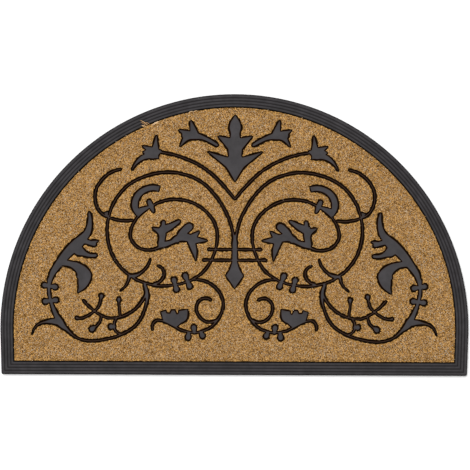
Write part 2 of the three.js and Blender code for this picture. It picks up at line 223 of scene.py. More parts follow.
def feed(links, socket, value):
    """Links an output to a socket, or sets the socket to a plain value."""
    if isinstance(value, bpy.types.NodeSocket):
        links.new(value, socket)
    else:
        socket.default_value = value


def mixed(nodes, links, factor, first, second):
    """A mix of two colours by a factor."""
    mix = nodes.new("ShaderNodeMix")
    mix.data_type = "RGBA"
    links.new(factor, mix.inputs["Factor"])
    colours = [socket for socket in mix.inputs if socket.type == "RGBA"]
    feed(links, colours[0], first)
    feed(links, colours[1], second)
    return next(socket for socket in mix.outputs if socket.type == "RGBA")


def graded(nodes, links, value, span, ends):
    """A value that runs from one of the ends to the other as the given one runs through span."""
    grade = nodes.new("ShaderNodeMapRange")
    links.new(value, grade.inputs["Value"])
    for title, limit in zip(("From Min", "From Max", "To Min", "To Max"), (*span, *ends)):
        feed(links, grade.inputs[title], limit)
    return grade.outputs["Result"]


def moulded_rubber(name, dark, bloom, flank_shade, flank_shade_depth, narrow_dust_and_shade=None):
    """Matt charcoal rubber: fine grain from the mould, a faint bloom in broad patches on its
    tops, and painted shade on its flanks, a darker colour without gloss, which begins at this depth
    under the tops. The narrow tone is that of narrow forms, painted darker and duller partly for
    coir dust and partly as painted shade of the pile beside them, by the piece's own map of its
    narrowness."""
    material = bpy.data.materials.new(name)
    material.use_nodes = True
    nodes, links = material.node_tree.nodes, material.node_tree.links
    shader = nodes["Principled BSDF"]
    place = nodes.new("ShaderNodeTexCoord")
    patches = nodes.new("ShaderNodeTexNoise")
    patches.inputs["Scale"].default_value = bloom_scale
    patches.inputs["Detail"].default_value = bloom_detail
    patches.inputs["Roughness"].default_value = bloom_roughness
    links.new(place.outputs["Object"], patches.inputs["Vector"])
    tone = colour_ramp(nodes, [(bloom_span[0], dark), (bloom_span[1], bloom)])
    links.new(patches.outputs["Fac"], tone.inputs["Fac"])
    top_colour = tone.outputs["Color"]
    # Painted shade: below the tops the colour turns to the darker flank colour and the gloss falls
    # to nothing, for the shade in grooves and gaps.
    height = nodes.new("ShaderNodeSeparateXYZ")
    links.new(place.outputs["Object"], height.inputs["Vector"])
    flank_shade_span = (rib_top - flank_shade_depth, rib_top - unshaded_band)
    out_of_shade = graded(nodes, links, height.outputs["Z"], flank_shade_span, (0, 1))
    gloss = nodes.new("ShaderNodeMath")
    gloss.operation = "MULTIPLY"
    gloss.inputs[1].default_value = top_gloss
    links.new(out_of_shade, gloss.inputs[0])
    # Narrow forms are painted darker and duller: partly coir dust, partly painted shade of the pile
    # beside them.
    if narrow_dust_and_shade:
        narrowness = nodes.new("ShaderNodeAttribute")
        narrowness.attribute_name = "narrowness"
        share = narrowness.outputs["Fac"]
        top_colour = mixed(nodes, links, share, top_colour, (*narrow_dust_and_shade, 1))
        dust_and_shade_dulled = graded(nodes, links, share, (0, 1), (top_gloss, dust_and_shade_gloss))
        links.new(dust_and_shade_dulled, gloss.inputs[1])
    links.new(gloss.outputs["Value"], shader.inputs["Specular IOR Level"])
    shaded_colour = mixed(nodes, links, out_of_shade, (*flank_shade, 1), top_colour)
    links.new(shaded_colour, shader.inputs["Base Color"])
    roughness = graded(nodes, links, patches.outputs["Fac"], (0, 1), rubber_roughness)
    links.new(roughness, shader.inputs["Roughness"])
    grain = nodes.new("ShaderNodeTexNoise")
    grain.inputs["Scale"].default_value = grain_scale
    grain.inputs["Detail"].default_value = grain_detail
    links.new(place.outputs["Object"], grain.inputs["Vector"])
    bump = nodes.new("ShaderNodeBump")
    bump.inputs["Distance"].default_value = grain_depth
    bump.inputs["Strength"].default_value = grain_strength
    links.new(grain.outputs["Fac"], bump.inputs["Height"])
    links.new(bump.outputs["Normal"], shader.inputs["Normal"])
    return material


# The ribbed frame gets painted shade down its grooves, from 1.6 mm under the rib tops.
rib_rubber = moulded_rubber(
    "ribbed_rubber", dark=(0.0225, 0.0208, 0.0221), bloom=(0.0400, 0.0370, 0.0396),
    flank_shade=(0.0150, 0.0133, 0.0133), flank_shade_depth=1.6 * mm,
)
tray_mesh = lofted("tray", [(mat_outline(inset), height) for inset, height in profile])
tray_mesh.shade_smooth()
tray_mesh.materials.append(rib_rubber)
tray = bpy.data.objects.new("tray_with_ribbed_frame", tray_mesh)
bpy.context.collection.objects.link(tray)
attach(tray, "root")
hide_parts("rubber_tray")

# The scrollwork is moulded in one with the backing: leaves, buds and lines with flat tops,
# rounded shoulders and walls that lean out a little at the foot. Its outlines are those of
# the CAD relief, made smooth and a little softer at their corners, as rubber leaves a mould.
relief_top = rib_top
relief_reach = 0.345  # the scrollwork keeps nearer to the middle than this, the frame doesn't
shoulder_radius = 1.5 * mm
shoulder_steps = 3
line_thinning = 0.5 * mm
wall_lean = 0.7 * mm
waist_lean = 0.15
waist_drop = 0.6 * mm
foot_drop = 0.05 * mm
buried = 0.6 * mm

# How its outlines are read off the solids, and smoothed.
weld_gap = 0.002 * mm
level_gap = 0.05 * mm
corner_turn = math.radians(48)
slight_turn = math.radians(7)
uneven_chords = 4
fine_step = 0.3 * mm
corner_blur = 0.4 * mm
longest_step = 2.4 * mm
most_turn = math.radians(9)

# The steps by which the half width of a form, that of the opening beside it and the room for
# its shoulder are sounded from an outline, and the half widths over which narrow turns to broad.
form_steps = np.linspace(0.6, 2.8, 12) * mm
narrow_form = (1.8 * mm, 2.6 * mm)
opening_steps = np.linspace(1.2, 3.2, 9) * mm
narrow_opening = (1.8 * mm, 3 * mm)
shoulder_shares = np.linspace(0.2, 1, 12)
sounding_slack = 0.93
width_share = 0.92
least_shoulder = 0.1
thinning_passes = 4
setback_passes = 3
ragged_seed = 7


def top_outlines(names, height, reach):
    """The closed lines round the flat faces at this height, solid on their left, in metres."""
    solid = bmesh.new()
    for name in names:
        solid.from_mesh(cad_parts[name].data)
    bmesh.ops.remove_doubles(solid, verts=solid.verts, dist=weld_gap)
    for face in solid.faces:
        face.tag = all(vert.co.z > height - level_gap for vert in face.verts)
    edges = {
        corner: None for face in solid.faces if face.tag for corner in face.loops
        if not corner.link_loop_radial_next.face.tag
    }
    found = []
    while edges:
        corner = next(iter(edges))
        line = []
        while corner in edges:
            del edges[corner]
            line.append(corner.vert.co.xy)
            corner = corner.link_loop_next
            while corner.link_loop_radial_next.face.tag:
                corner = corner.link_loop_radial_next.link_loop_next
        if max(abs(point.x) for point in line) < reach:
            found.append(np.array(line))
    solid.free()
    return found


def unit(vectors):
    """Each vector at length one."""
    return vectors / np.maximum(np.linalg.norm(vectors, axis=-1, keepdims=True), 1e-12)


def rounded_outline(corners):
    """Even fine points along a smooth closed line through corners, sharp turns softened."""
    ahead = np.roll(corners, -1, axis=0) - corners
    behind = np.roll(ahead, 1, axis=0)
    length = np.linalg.norm(ahead, axis=1, keepdims=True)
    length_behind = np.roll(length, 1, axis=0)
    cosine = (unit(ahead) * unit(behind)).sum(axis=1, keepdims=True)
    uneven = np.maximum(length, length_behind) > uneven_chords * np.minimum(length, length_behind)
    sharp = (cosine < math.cos(corner_turn)) | uneven & (cosine < math.cos(slight_turn))
    along = unit(unit(behind) * length + unit(ahead) * length_behind)
    leaving = np.where(sharp, unit(ahead), along)
    arriving = np.roll(np.where(sharp, unit(behind), along), -1, axis=0)
    curves = []
    for start, end, out, into, size in zip(
        corners, np.roll(corners, -1, axis=0), leaving, arriving, length[:, 0]
    ):
        t = np.linspace(0, 1, max(2, math.ceil(size / fine_step)), endpoint=False)[:, None]
        handle, other = start + out * size / 3, end - into * size / 3
        curves.append(
            (1 - t) ** 3 * start + 3 * (1 - t) ** 2 * t * handle
            + 3 * (1 - t) * t**2 * other + t**3 * end
        )
    line = np.concatenate(curves)
    closed = np.concatenate([line, line[:1]])
    travelled = np.concatenate([[0], np.cumsum(np.linalg.norm(np.diff(closed, axis=0), axis=1))])
    count = int(travelled[-1] / fine_step)
    even = np.arange(count) * travelled[-1] / count
    line = np.stack([np.interp(even, travelled, closed[:, k]) for k in range(2)], axis=1)
    offsets = np.minimum(np.arange(count), count - np.arange(count)) * fine_step
    kernel = np.exp(-0.5 * (offsets / corner_blur) ** 2)
    blur = np.fft.fft(kernel / kernel.sum())[:, None]
    return np.fft.ifft(np.fft.fft(line, axis=0) * blur, axis=0).real


def kept_points(line):
    """The indices of the points that a line keeps: more in its bends, fewer on its straights."""
    heading = np.roll(line, -1, axis=0) - line
    angle = np.arctan2(heading[:, 1], heading[:, 0])
    turn = (np.diff(angle, append=angle[:1]) + math.pi) % (2 * math.pi) - math.pi
    kept, turned, passed = [0], 0.0, 0.0
    for i in range(1, len(line)):
        turned += abs(turn[i - 1])
        passed += fine_step
        if turned > most_turn or passed > longest_step:
            kept.append(i)
            turned = passed = 0.0
    return kept


def enclosed_area(points):
    """The area inside a closed line, below zero where it runs clockwise."""
    ahead = np.roll(points, -1, axis=0)
    return (points[:, 0] * ahead[:, 1] - points[:, 1] * ahead[:, 0]).sum() / 2


def inside(point, points):
    """Whether a point lies inside a closed line."""
    x, y = points.T
    next_x, next_y = np.roll(points, -1, axis=0).T
    spans = (y > point[1]) != (next_y > point[1])
    crossing = x + (point[1] - y) * (next_x - x) / np.where(spans, next_y - y, 1)
    return (spans & (crossing > point[0])).sum() % 2 == 1


def evened(values):
    """Each value averaged with its two neighbours."""
    return (np.roll(values, 1) + 2 * values + np.roll(values, -1)) / 4


def raised(name, coarse_outlines, levels, top, shoulder, thinning=0.0, setbacks=None, ragged=0.0):
    """A closed mesh on these outlines: walls up through levels, each (outwards, height), then a
    shoulder that rounds in to a flat top. Where the form is narrow the shoulders meet, and it is
    thinner by thinning on each side, as its map of narrowness says. Setbacks are how much
    further in the shoulder reaches beside a narrow opening and beside a broad one, and ragged
    is the share by which its reach varies at random."""
    draw = np.random.default_rng(ragged_seed)
    fine = [rounded_outline(line) for line in coarse_outlines]
    near = KDTree(sum(len(line) for line in fine))
    for i, point in enumerate(np.concatenate(fine)):
        near.insert((*point, 0), i)
    near.balance()

    def clear(point, way, steps):
        """How far one can go from a point on the outline before another part is nearer."""
        reached = steps[0] / 2
        for step in steps:
            if near.find((*(point + way * step), 0))[2] < sounding_slack * step:
                break
            reached = step
        return reached

    outlines = []
    for line in fine:
        ahead = unit(np.roll(line, -2, axis=0) - np.roll(line, 2, axis=0))
        kept = kept_points(line)
        points = line[kept]
        inward = np.stack([-ahead[kept, 1], ahead[kept, 0]], axis=1)
        depth, drawn_in = [], []
        for point, way in zip(points, inward):
            half_width = clear(point, way, form_steps) if thinning else math.inf
            drawn_in.append(np.interp(half_width, narrow_form, (thinning, 0)))
            most = shoulder
            if setbacks and abs(line[:, 0]).max() < relief_reach:
                breadth = clear(point, -way, opening_steps)
                most += np.interp(breadth, narrow_opening, setbacks)
            reached = clear(point, way, shoulder_shares * (most + drawn_in[-1]))
            depth.append(max(reached - drawn_in[-1], least_shoulder * shoulder))
        drawn_in = np.array(drawn_in)
        for _ in range(thinning_passes):
            drawn_in = evened(drawn_in)
        points = points + inward * drawn_in[:, None]
        limit = np.array(depth) * width_share
        depth = np.minimum(limit, np.minimum(np.roll(limit, 1), np.roll(limit, -1)))
        for _ in range(setback_passes if setbacks else 1):
            depth = np.minimum(evened(depth), limit)
        depth = depth * (1 - ragged * draw.random(len(depth)))
        outlines.append((points, inward, depth, drawn_in))

    islands = [[outline] for outline in outlines if enclosed_area(outline[0]) > 0]
    for hole in (outline for outline in outlines if enclosed_area(outline[0]) < 0):
        holders = [island for island in islands if inside(hole[0][0], island[0][0])]
        min(holders, key=lambda island: enclosed_area(island[0][0])).append(hole)

    vertices, faces, flat, narrowness = [], [], [], []
    for island in islands:
        lowest, highest = [], []
        for points, inward, depth, drawn_in in island:
            rings = [(points - inward * out, np.full(len(points), height)) for out, height in levels]
            for step in range(1, shoulder_steps + 1):
                moved = depth * (1 - math.cos(math.pi / 2 * step / shoulder_steps))
                short = shoulder - moved * shoulder / depth
                rise = np.sqrt(shoulder**2 - short**2)
                rings.append((points + inward * moved[:, None], top - shoulder + rise))
            start, count = len(vertices), len(points)
            vertices += [(x, y, z) for ring, height in rings for (x, y), z in zip(ring, height)]
            narrowness += [*(drawn_in / (thinning or 1))] * len(rings)
            for ring in range(len(rings) - 1):
                for i in range(count):
                    low = start + ring * count + i
                    next_low = start + ring * count + (i + 1) % count
                    faces.append((low, next_low, next_low + count, low + count))
            lowest.append(range(start, start + count))
            highest.append(range(start + (len(rings) - 1) * count, start + len(rings) * count))
        for lines, facing in ((lowest, -1), (highest, 1)):
            index = [i for line in lines for i in line]
            corners = [[Vector((*vertices[i][:2], 0)) for i in line] for line in lines]
            for triangle in tessellate_polygon(corners):
                a, b, c = (index[i] for i in triangle)
                first = Vector(vertices[b][:2]) - Vector(vertices[a][:2])
                second = Vector(vertices[c][:2]) - Vector(vertices[a][:2])
                if first.cross(second) * facing < 0:
                    b, c = c, b
                flat.append(len(faces))
                faces.append((a, b, c))
    mesh = bpy.data.meshes.new(name)
    mesh.from_pydata(vertices, [], faces)
    mesh.shade_smooth()
    for face in flat:
        mesh.polygons[face].use_smooth = False
    # The long slivers of the flat faces are turned into triangles of a better shape.
    shell = bmesh.new()
    shell.from_mesh(mesh)
    bmesh.ops.beautify_fill(
        shell, faces=[face for face in shell.faces if not face.smooth],
        edges=[edge for edge in shell.edges if not any(face.smooth for face in edge.link_faces)],
    )
    shell.to_mesh(mesh)
    shell.free()
    least = [min(narrowness[corner] for corner in face.vertices) for face in mesh.polygons]
    mesh.attributes.new("narrowness", "FLOAT", "FACE").data.foreach_set("value", least)
    return mesh


relief_levels = [
    (0, backing_top - buried),
    (wall_lean, backing_top - foot_drop),
    (waist_lean * wall_lean, relief_top - shoulder_radius - waist_drop),
    (0, relief_top - shoulder_radius),
]
# The scrollwork gets warm painted shade on its flanks from 0.24 mm under its tops, and its narrow
# lines are painted darker for coir dust and painted shade.
relief_rubber = moulded_rubber(
    "scrollwork_rubber", dark=(0.030, 0.0278, 0.0292), bloom=(0.045, 0.0416, 0.0440),
    flank_shade=(0.0170, 0.0050, 0.0004), flank_shade_depth=0.24 * mm, narrow_dust_and_shade=(0.0350, 0.0240, 0.0190),
)
relief_outlines = top_outlines(["rubber_tray"], relief_top, relief_reach)
relief_mesh = raised(
    "scrollwork", relief_outlines, relief_levels, relief_top, shoulder_radius, line_thinning,
)
relief_mesh.materials.append(relief_rubber)
scrollwork = bpy.data.objects.new("scrollwork", relief_mesh)
bpy.context.collection.objects.link(scrollwork)
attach(scrollwork, "root")
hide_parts("rubber_tray")

# The matted foot of the pile is short coir, stood in glue in each field of the tray and packed
# to a flat bed between the scrollwork. It shows only between the fibres of the pile, and is
# painted dark with shade where it rounds down beside the rubber.
coir_nodes = [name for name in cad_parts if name.startswith("coir_")]
bed_foot, pile_top = (corner.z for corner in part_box("coir_field"))
bed_top = 7.6 * mm
bed_shoulder = 1.5 * mm
bed_setbacks = (-0.6 * mm, 2.2 * mm)
bed_raggedness = 0.8
bed_dark = (0.085, 0.033, 0.006)
bed_light = (0.62, 0.355, 0.115)
bed_span = (0.35, 0.65)
bed_roughness = 0.95
matting_scale = 700
matting_detail = 4
matting_depth = 0.8 * mm
shaded_span = (bed_top - 0.2 * mm, bed_top - 0.004 * mm)
shaded_light = 0.04


def lit(nodes, links, colour, share):
    """A colour times this share, which paints shade on it."""
    dimmed = nodes.new("ShaderNodeVectorMath")
    dimmed.operation = "SCALE"
    links.new(colour, dimmed.inputs[0])
    links.new(share, dimmed.inputs["Scale"])
    return dimmed.outputs["Vector"]


bed_material = bpy.data.materials.new("matted_coir")
bed_material.use_nodes = True
nodes, links = bed_material.node_tree.nodes, bed_material.node_tree.links
shader = nodes["Principled BSDF"]
shader.inputs["Roughness"].default_value = bed_roughness
shader.inputs["Specular IOR Level"].default_value = 0.0
place = nodes.new("ShaderNodeTexCoord")
matting = nodes.new("ShaderNodeTexNoise")
matting.inputs["Scale"].default_value = matting_scale
matting.inputs["Detail"].default_value = matting_detail
links.new(place.outputs["Object"], matting.inputs["Vector"])
shade = colour_ramp(nodes, [(bed_span[0], bed_dark), (bed_span[1], bed_light)])
links.new(matting.outputs["Fac"], shade.inputs["Fac"])
height = nodes.new("ShaderNodeSeparateXYZ")
links.new(place.outputs["Object"], height.inputs["Vector"])
# Painted shade: the bed is darkened where it drops below its flat top.
light = graded(nodes, links, height.outputs["Z"], shaded_span, (shaded_light, 1))
links.new(lit(nodes, links, shade.outputs["Color"], light), shader.inputs["Base Color"])
bump = nodes.new("ShaderNodeBump")
bump.inputs["Distance"].default_value = matting_depth
links.new(matting.outputs["Fac"], bump.inputs["Height"])
links.new(bump.outputs["Normal"], shader.inputs["Normal"])

bed_levels = [(0, bed_foot), (0, bed_top - bed_shoulder)]
bed_outlines = top_outlines(coir_nodes, pile_top, math.inf)
bed_mesh = raised(
    "coir_bed", bed_outlines, bed_levels, bed_top, bed_shoulder, setbacks=bed_setbacks,
    ragged=bed_raggedness,
)
bed_mesh.materials.append(bed_material)
coir_bed = bpy.data.objects.new("coir_bed", bed_mesh)
bpy.context.collection.objects.link(coir_bed)
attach(coir_bed, "root")
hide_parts(*coir_nodes)

# The pile: stiff coir fibres, each a thin tapering strand rooted in the bed, leaning at random
# and with its neighbours in small tufts. Near the rubber the fibres stand straighter, because
# the relief holds them up, and in places they spill over it.
red_coir = [
    (0.00, (0.07, 0.022, 0.004)),
    (0.25, (0.34, 0.125, 0.018)),
    (0.50, (0.76, 0.388, 0.120)),
    (0.75, (0.965, 0.665, 0.370)),
    (1.00, (0.985, 0.83, 0.600)),
]
straw_coir = [
    (0.00, (0.08, 0.032, 0.008)),
    (0.25, (0.36, 0.165, 0.033)),
    (0.50, (0.77, 0.474, 0.206)),
    (0.75, (0.965, 0.75, 0.505)),
    (1.00, (0.985, 0.90, 0.750)),
]
tone_map = "OFBake"  # along U lies a fibre's tone, and along V its hue, from red to straw
fibre_roughness = 0.75
fibre_gloss = 0.1
root_shade_span = (bed_top, bed_top + 1.6 * mm)
root_light = 0.55

fibre_material = bpy.data.materials.new("coir_fibre")
fibre_material.use_nodes = True
nodes, links = fibre_material.node_tree.nodes, fibre_material.node_tree.links
shader = nodes["Principled BSDF"]
shader.inputs["Roughness"].default_value = fibre_roughness
shader.inputs["Specular IOR Level"].default_value = fibre_gloss
fibre_map = nodes.new("ShaderNodeUVMap")
fibre_map.uv_map = tone_map
parts = nodes.new("ShaderNodeSeparateXYZ")
links.new(fibre_map.outputs["UV"], parts.inputs["Vector"])
red = colour_ramp(nodes, red_coir)
straw = colour_ramp(nodes, straw_coir)
links.new(parts.outputs["X"], red.inputs["Fac"])
links.new(parts.outputs["X"], straw.inputs["Fac"])
colour = mixed(nodes, links, parts.outputs["Y"], red.outputs["Color"], straw.outputs["Color"])
place = nodes.new("ShaderNodeTexCoord")
height = nodes.new("ShaderNodeSeparateXYZ")
links.new(place.outputs["Object"], height.inputs["Vector"])
# Painted shade: each fibre is darker towards its root, low in the pile.
light = graded(nodes, links, height.outputs["Z"], root_shade_span, (root_light, 1))
links.new(lit(nodes, links, colour, light), shader.inputs["Base Color"])


class Tree:
    """Adds nodes to a Geometry Nodes tree and links what they are given."""

    def __init__(self, name, inputs):
        self.tree = bpy.data.node_groups.new(name, "GeometryNodeTree")
        self.nodes, self.links = self.tree.nodes, self.tree.links
        add_socket = self.tree.interface.new_socket
        add_socket("Geometry", in_out="INPUT", socket_type="NodeSocketGeometry")
        add_socket("Geometry", in_out="OUTPUT", socket_type="NodeSocketGeometry")
        for title, kind in inputs.items():
            add_socket(title, in_out="INPUT", socket_type=f"NodeSocket{kind}")
        self.given = self.nodes.new("NodeGroupInput").outputs
        self.result = self.nodes.new("NodeGroupOutput").inputs["Geometry"]

    def add(self, kind, settings=None, **values):
        """A node of this kind. Each value is a number or an output to link, by its input's name."""
        node = self.nodes.new(kind)
        for key, value in (settings or {}).items():
            setattr(node, key, value)
        for key, value in values.items():
            socket = next(s for s in node.inputs if s.enabled and s.name.replace(" ", "_") == key)
            feed(self.links, socket, value)
        return next(s for s in node.outputs if s.enabled)

    def math(self, operation, first, second=0.0):
        """The result of an operation on two numbers."""
        return self.sum("ShaderNodeMath", operation, first, second)

    def vector(self, operation, first, second=(0, 0, 0)):
        """The result of an operation on two vectors."""
        return self.sum("ShaderNodeVectorMath", operation, first, second)

    def sum(self, kind, operation, first, second):
        """The result of an operation on two values, each a plain one or an output to link."""
        node = self.nodes.new(kind)
        node.operation = operation
        for socket, value in zip(node.inputs, (first, second)):
            feed(self.links, socket, value)
        return next(s for s in node.outputs if s.enabled)


pile = Tree("coir_pile", {
    "Fibres per square metre": "Float",
    "Length": "Float",
    "Thickness": "Float",
    "Tip width": "Float",
    "Segments": "Int",
    "Bend": "Float",
    "Lean": "Float",
    "Tuft size": "Float",
    "Tuft lean": "Float",
    "Edge width": "Float",
    "Edge raggedness": "Float",
    "Spill": "Float",
    "Rim shade": "Float",
    "Tone": "Float",
    "Seed": "Int",
    "Material": "Material",
})
given = pile.given

fibre_sides = 3
length_spread = (0.72, 1.2)
thickness_spread = (0.7, 1.25)
held_share = 0.5  # of its lean, that a fibre keeps right beside the rubber
spill_band = 3.5 * mm
edge_scale = 290
edge_middle = 0.48
rim_band = 6.5 * mm
rim_falloff = 3.0
frame_band = (22 * mm, 32 * mm)
frame_tone = -0.28
own_tone_spread = 1.05
tuft_tone_scale, tuft_tone_spread = 850, 7.6
patch_tone_scale, patch_tone_spread = 60, 0.55
tone_limits = (0.02, 0.98)
tuft_hue_scale, tuft_hue_spread = 230, 0.9
own_hue = (0.43, 0.55)
rim_hue = 0.35
hue_limits = (0.03, 0.9)
tone_across_fibre = 0.02
hue_up_fibre = 0.06


def noted(geometry, name, value, kind="FLOAT", domain="POINT"):
    """The geometry with a value noted on it under this name."""
    return pile.add(
        "GeometryNodeStoreNamedAttribute", {"data_type": kind, "domain": domain},
        Geometry=geometry, Name=name, Value=value,
    )


def number(name):
    """The number that was noted under this name."""
    return pile.add("GeometryNodeInputNamedAttribute", {"data_type": "FLOAT"}, Name=name)


def noise(scale, detail=2.0, coloured=False):
    """A noise at each root: its value, or three values as a vector from -0.5 to 0.5."""
    node = pile.nodes.new("ShaderNodeTexNoise")
    node.inputs["Detail"].default_value = detail
    feed(pile.links, node.inputs["Scale"], scale)
    if coloured:
        return pile.vector("SUBTRACT", node.outputs["Color"], (0.5, 0.5, 0.5))
    return node.outputs["Fac"]


def swing(scale, spread, middle=0.5):
    """A noise that swings round this middle, times its spread."""
    return pile.math("MULTIPLY", pile.math("SUBTRACT", noise(scale), middle), spread)


def chance(low, high, extra_seed, kind="FLOAT"):
    """A random value, or vector, for each fibre. Each use has its own extra seed."""
    node = pile.nodes.new("FunctionNodeRandomValue")
    node.data_type = kind
    sockets = [s for s in node.inputs if s.enabled]
    sockets[0].default_value = low
    sockets[1].default_value = high
    seed = pile.math("ADD", given["Seed"], extra_seed)
    pile.links.new(seed, next(s for s in node.inputs if s.name == "Seed"))
    return next(s for s in node.outputs if s.enabled)


def between(value, limits):
    """A value that is held between two limits."""
    return pile.math("MINIMUM", pile.math("MAXIMUM", value, limits[0]), limits[1])


def leaned(way, amount):
    """A way to lean, times an amount."""
    return pile.vector("MULTIPLY", way, pile.add("ShaderNodeCombineXYZ", X=amount, Y=amount))


# One fibre, along +Z, with its height and its sideways place noted for the UV map.
spot = pile.add("GeometryNodeInputPosition")
spot_parts = pile.add("ShaderNodeSeparateXYZ", Vector=spot).node.outputs
height = spot_parts["Z"]
fibre = pile.add(
    "GeometryNodeMeshCone", Vertices=fibre_sides, Side_Segments=given["Segments"],
    Radius_Top=given["Tip width"], Radius_Bottom=0.5, Depth=1.0,
)
fibre = noted(fibre, "height", height)
fibre = noted(fibre, "sideways", spot_parts["X"])
bent = pile.math("MULTIPLY", pile.math("MULTIPLY", height, height), given["Bend"])
offset = pile.add("ShaderNodeCombineXYZ", X=bent)
fibre = pile.add("GeometryNodeSetPosition", Geometry=fibre, Offset=offset)

# The ground is the bed's flat top, and its rim is where the pile meets the rubber.
high = pile.math("GREATER_THAN", height, bed_top - bed_shoulder)
rounded = pile.add("GeometryNodeInputShadeSmooth")
level = pile.math("MULTIPLY", high, pile.math("SUBTRACT", 1.0, rounded))
ground = pile.add(
    "GeometryNodeSeparateGeometry", {"domain": "FACE"}, Geometry=given["Geometry"], Selection=level,
)
neighbours = pile.add("GeometryNodeInputMeshEdgeNeighbors")
lone = pile.add("FunctionNodeCompare", {"data_type": "INT", "operation": "EQUAL"}, A=neighbours, B=1)
rim = pile.add("GeometryNodeMeshToCurve", Mesh=ground, Selection=lone)
rim = pile.add("GeometryNodeCurveToMesh", Curve=rim)
roots = pile.add(
    "GeometryNodeDistributePointsOnFaces", Mesh=ground, Density=given["Fibres per square metre"],
    Seed=given["Seed"],
)
proximity = pile.nodes.new("GeometryNodeProximity")
proximity.target_element = "EDGES"
pile.links.new(rim, proximity.inputs[0])
to_rim = proximity.outputs["Distance"]


def by_distance(distance, span, ends):
    """A number that runs from one of the ends to the other over a span of distance."""
    return graded(pile.nodes, pile.links, distance, span, ends)


freedom = by_distance(to_rim, (0, given["Edge width"]), (held_share, 1))
beside_rim = pile.math("POWER", by_distance(to_rim, (0, rim_band), (1, 0)), rim_falloff)
# Painted shade: fibres near the rubber are darkened by Rim shade.
rim_shade_tone = pile.math("MULTIPLY", beside_rim, pile.math("MULTIPLY", given["Rim shade"], -1.0))
from_middle = pile.vector(
    "DISTANCE", pile.vector("MULTIPLY", spot, (1, 1, 0)), (0, arch_middle_y, 0),
)
from_arch = pile.math("SUBTRACT", arch_radius, from_middle)
from_straight = pile.math("SUBTRACT", spot_parts["Y"], mat_low.y)
from_edge = pile.math("MINIMUM", from_arch, from_straight)
beside_frame = by_distance(from_edge, frame_band, (frame_tone, 0))

# Which way each fibre points: upright, and off by its own lean and that of its tuft.
tuft_scale = pile.math("DIVIDE", 1.0, given["Tuft size"])
tuft_way = pile.vector("MULTIPLY", noise(tuft_scale, 1.0, coloured=True), (1, 1, 0))
own_way = chance((-1, -1, 0), (1, 1, 0), 11, "FLOAT_VECTOR")
lean = pile.vector("ADD", leaned(tuft_way, given["Tuft lean"]), leaned(own_way, given["Lean"]))
outward = pile.vector("NORMALIZE", pile.vector("SUBTRACT", proximity.outputs["Position"], spot))
spill = pile.math("MAXIMUM", swing(edge_scale, given["Spill"]), 0.0)
spill = pile.math("MULTIPLY", by_distance(to_rim, (0, spill_band), (1, 0)), spill)
sideways = pile.vector("ADD", leaned(lean, freedom), leaned(outward, spill))
axis = pile.vector("ADD", sideways, (0, 0, 1))
turn = pile.add("FunctionNodeAxisAngleToRotation", Axis=(0, 0, 1), Angle=chance(0, 2 * math.pi, 12))
aligned = pile.add("FunctionNodeAlignRotationToVector", {"axis": "Z"}, Rotation=turn, Vector=axis)

# Each fibre has its own size, and the outermost ones are missing in places.
long = pile.math("MULTIPLY", given["Length"], chance(*length_spread, 13))
thick = pile.math("MULTIPLY", given["Thickness"], chance(*thickness_spread, 14))
size = pile.add("ShaderNodeCombineXYZ", X=thick, Y=thick, Z=long)
bare_edge = swing(edge_scale, given["Edge raggedness"], edge_middle)
fibres = pile.add(
    "GeometryNodeInstanceOnPoints", Points=roots, Instance=fibre, Rotation=aligned, Scale=size,
    Selection=pile.math("GREATER_THAN", to_rim, bare_edge),
)

# The tone of each fibre: its own, that of its tuft, and that of broad patches of the mat, with
# painted shade near the rubber and a darker band beside the frame.
own_tone = pile.math("MULTIPLY", chance(-0.5, 0.5, 15), own_tone_spread)
tuft_tone = swing(tuft_tone_scale, tuft_tone_spread)
patch_tone = swing(patch_tone_scale, patch_tone_spread)
grown_tone = pile.math("ADD", own_tone, pile.math("ADD", tuft_tone, patch_tone))
tone = pile.math("ADD", given["Tone"], grown_tone)
tone = pile.math("ADD", tone, pile.math("ADD", rim_shade_tone, beside_frame))
fibres = noted(fibres, "tone", between(tone, tone_limits), domain="INSTANCE")
tuft_hue = swing(tuft_hue_scale, tuft_hue_spread)
hue = pile.math("ADD", tuft_hue, pile.math("MULTIPLY", beside_rim, rim_hue))
hue = pile.math("ADD", hue, chance(*own_hue, 16))
fibres = noted(fibres, "hue", between(hue, hue_limits), domain="INSTANCE")
fibres = pile.add("GeometryNodeRealizeInstances", Geometry=fibres)
u = pile.math("ADD", number("tone"), pile.math("MULTIPLY", number("sideways"), tone_across_fibre))
v = pile.math("ADD", number("hue"), pile.math("MULTIPLY", number("height"), hue_up_fibre))
spread = pile.add("ShaderNodeCombineXYZ", X=u, Y=v)
fibres = noted(fibres, tone_map, spread, "FLOAT2", "CORNER")
for name in ("tone", "hue", "height", "sideways", "narrowness"):
    fibres = pile.add("GeometryNodeRemoveAttribute", Geometry=fibres, Name=name)
finished = pile.add("GeometryNodeSetMaterial", Geometry=fibres, Material=given["Material"])
pile.links.new(finished, pile.result)


def sown(name, **sizes):
    """The plain mesh piece that the pile's tree gives on the bed, with these inputs."""
    sower = bpy.data.objects.new(name, bed_mesh.copy())
    bpy.context.collection.objects.link(sower)
    modifier = sower.modifiers.new("pile", "NODES")
    modifier.node_group = pile.tree
    for item in pile.tree.interface.items_tree:
        key = item.name.replace(" ", "_").lower()
        if item.in_out == "INPUT" and key in sizes:
            modifier[item.identifier] = sizes[key]
    evaluated = sower.evaluated_get(bpy.context.evaluated_depsgraph_get())
    mesh = bpy.data.meshes.new_from_object(evaluated)
    sower.modifiers.clear()
    sower.data = mesh
    mesh.materials.clear()
    mesh.materials.append(sizes["material"])
    mesh.shade_smooth()
    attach(sower, "root")
    return sower


